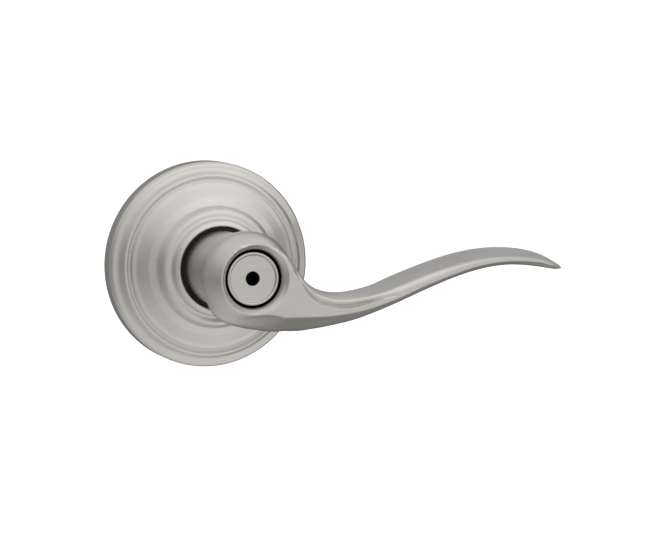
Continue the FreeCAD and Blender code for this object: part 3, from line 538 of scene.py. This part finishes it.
def studio():
    """Pale floor, a soft sky that is lighter ahead, to the right and above, and a camera."""
    scene = bpy.context.scene
    scene.view_settings.view_transform = "Standard"
    world = bpy.data.worlds.new("studio")
    world.use_nodes = True
    scene.world = world
    tree = world.node_tree
    place = tree.nodes.new("ShaderNodeTexCoord")
    lean = tree.nodes.new("ShaderNodeVectorMath")
    lean.operation = "DOT_PRODUCT"
    lean.inputs[1].default_value = (0.55, -0.75, 0)
    turn = tree.nodes.new("ShaderNodeVectorMath")
    turn.operation = "DOT_PRODUCT"
    turn.inputs[1].default_value = (0.6, 0.8, 0)
    axes = tree.nodes.new("ShaderNodeSeparateXYZ")
    tree.links.new(place.outputs["Generated"], lean.inputs[0])
    tree.links.new(place.outputs["Generated"], turn.inputs[0])
    tree.links.new(place.outputs["Generated"], axes.inputs[0])
    above = eased(tree, axes.outputs["Z"], -0.05, 0.85)
    below = eased(tree, axes.outputs["Z"], -0.1, -0.95)
    ahead = eased(tree, lean.outputs["Value"], -0.35, 0.95)
    light = node_math(tree, "MULTIPLY_ADD", above, 0.45, 0.36)
    light = node_math(tree, "MULTIPLY_ADD", below, 0.3, light)
    light = node_math(tree, "MULTIPLY_ADD", ahead, 0.4, light)
    behind = eased(tree, turn.outputs["Value"], 0.3, 0.8)
    low = eased(tree, axes.outputs["Z"], 0.7, 0.3)
    behind = node_math(tree, "MULTIPLY", behind, low)
    light = node_math(tree, "MULTIPLY", light, span(tree, behind, 1, 0.35))
    path = tree.nodes.new("ShaderNodeLightPath")
    seen = node_math(tree, "MAXIMUM", light, path.outputs["Is Camera Ray"])
    tree.links.new(seen, tree.nodes["Background"].inputs["Strength"])
    tree.nodes["Background"].inputs["Color"].default_value = (1, 1, 1, 1)

    mesh = bpy.data.meshes.new("floor")
    half, level = 40, CAD_BOX[0][2] - 0.06
    mesh.from_pydata([(-half, -half, level), (half, -half, level), (half, half, level), (-half, half, level)],
                     [], [(0, 1, 2, 3)])
    floor = bpy.data.objects.new("floor", mesh)
    bpy.context.collection.objects.link(floor)
    floor.visible_glossy = False
    material = bpy.data.materials.new("pale_floor")
    material.use_nodes = True
    shader = material.node_tree.nodes["Principled BSDF"]
    shader.inputs["Base Color"].default_value = (0.9, 0.9, 0.9, 1)
    shader.inputs["Roughness"].default_value = 0.9
    shader.inputs["Specular IOR Level"].default_value = 0
    shader.inputs["Emission Color"].default_value = (1, 1, 1, 1)
    shader.inputs["Emission Strength"].default_value = 0.45
    floor.data.materials.append(material)

    azimuth, elevation, distance = math.radians(-20.075), math.radians(6.042), 1.0
    target = Vector((0.04, -0.03, 0))
    away = Vector((math.sin(azimuth) * math.cos(elevation), -math.cos(azimuth) * math.cos(elevation),
                   math.sin(elevation)))
    data = bpy.data.cameras.new("camera")
    data.lens = 163.35
    data.sensor_width = 36
    data.shift_x = -0.0247
    data.shift_y = 0.0009
    camera = bpy.data.objects.new("camera", data)
    camera.location = target + away * distance
    camera.rotation_euler = (-away).to_track_quat("-Z", "Y").to_euler()
    bpy.context.collection.objects.link(camera)
    scene.camera = camera


def flag(name, low, high, fade, colour):
    """A level panel that only reflections see; it keeps sky off the metal and fades in along X."""
    mesh = bpy.data.meshes.new(name)
    mesh.from_pydata([low, (high[0], low[1], low[2]), high, (low[0], high[1], low[2])], [], [(0, 1, 2, 3)])
    panel = bpy.data.objects.new(name, mesh)
    bpy.context.collection.objects.link(panel)
    panel.visible_camera = False
    panel.visible_diffuse = False
    panel.visible_shadow = False
    panel.visible_transmission = False
    material = bpy.data.materials.new(name)
    material.use_nodes = True
    tree = material.node_tree
    shader = tree.nodes["Principled BSDF"]
    shader.inputs["Base Color"].default_value = (0, 0, 0, 1)
    shader.inputs["Specular IOR Level"].default_value = 0
    shader.inputs["Emission Color"].default_value = (*colour, 1)
    shader.inputs["Emission Strength"].default_value = 1
    place = tree.nodes.new("ShaderNodeTexCoord")
    axes = tree.nodes.new("ShaderNodeSeparateXYZ")
    tree.links.new(place.outputs["Object"], axes.inputs[0])
    tree.links.new(eased(tree, axes.outputs["X"], low[0], low[0] + fade), shader.inputs["Alpha"])
    panel.data.materials.append(material)


def soft_light(name, place, aim, side, power):
    """A square area light that looks at a point."""
    data = bpy.data.lights.new(name, "AREA")
    data.size = side
    data.energy = power
    light = bpy.data.objects.new(name, data)
    light.location = place
    light.rotation_euler = (Vector(aim) - Vector(place)).to_track_quat("-Z", "Y").to_euler()
    bpy.context.collection.objects.link(light)


FINISH_OF = {
    "mounting_plate": "zinc_plated_steel", "mounting_posts": "zinc_plated_steel",
    "housing_rivets": "zinc_plated_steel", "stop_pins": "zinc_plated_steel",
    "spring_housing": "zinc_plated_steel", "sleeve_bearing": "black_nylon",
    "thrust_washer": "pale_nylon", "neck_bushing": "black_nylon", "return_spring": "spring_steel",
    "cam_plate": "zinc_plated_steel", "drive_sleeve": "darkened_steel",
    "retaining_ring": "spring_steel", "plug_clip": "spring_steel", "spindle": "zinc_plated_steel",
    "spindle_carrier": "cast_zinc", "spindle_pin": "spring_steel", "release_rod": "darkened_steel",
    "lever_catch": "cast_zinc",
}

MADE = finishes()
for node, slot in FINISH_OF.items():
    dress(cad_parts[node], MADE[slot])
for node, body, piece in (("rosette", "rose", turned("rosette_cover", ROSETTE_OUTLINE)),
                          ("privacy_plug", "turning_lever", turned("release_plug", PLUG_OUTLINE)),
                          ("lever", "turning_lever", lever())):
    dress(piece, MADE["satin_nickel"])
    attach(piece, body)
    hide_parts(node)
for name, node, presser, held_end, pressed_end in (
        ("release_coil", "release_spring", "pushed_rod", (0, -0.0243, 0), (0, -0.0445, 0)),
        ("catch_leaf", "catch_spring", "pressed_catch", (0, -0.0365, 0), (0, -0.0325, 0))):
    spring = yielding_spring(name, node)
    dress(spring, MADE["spring_steel"])
studio()
flag("lower_flag", (-0.01, -0.095, -0.037), (0.14, -0.033, -0.037), 0.025, (0.3, 0.295, 0.29))
flag("upper_flag", (0.028, -0.07, 0.015), (0.15, 0.03, 0.015), 0.02, (0.5, 0.5, 0.52))
soft_light("overhead", (0.4, -1.9, 1.6), (0.04, -0.03, 0), 2.4, 1.5)
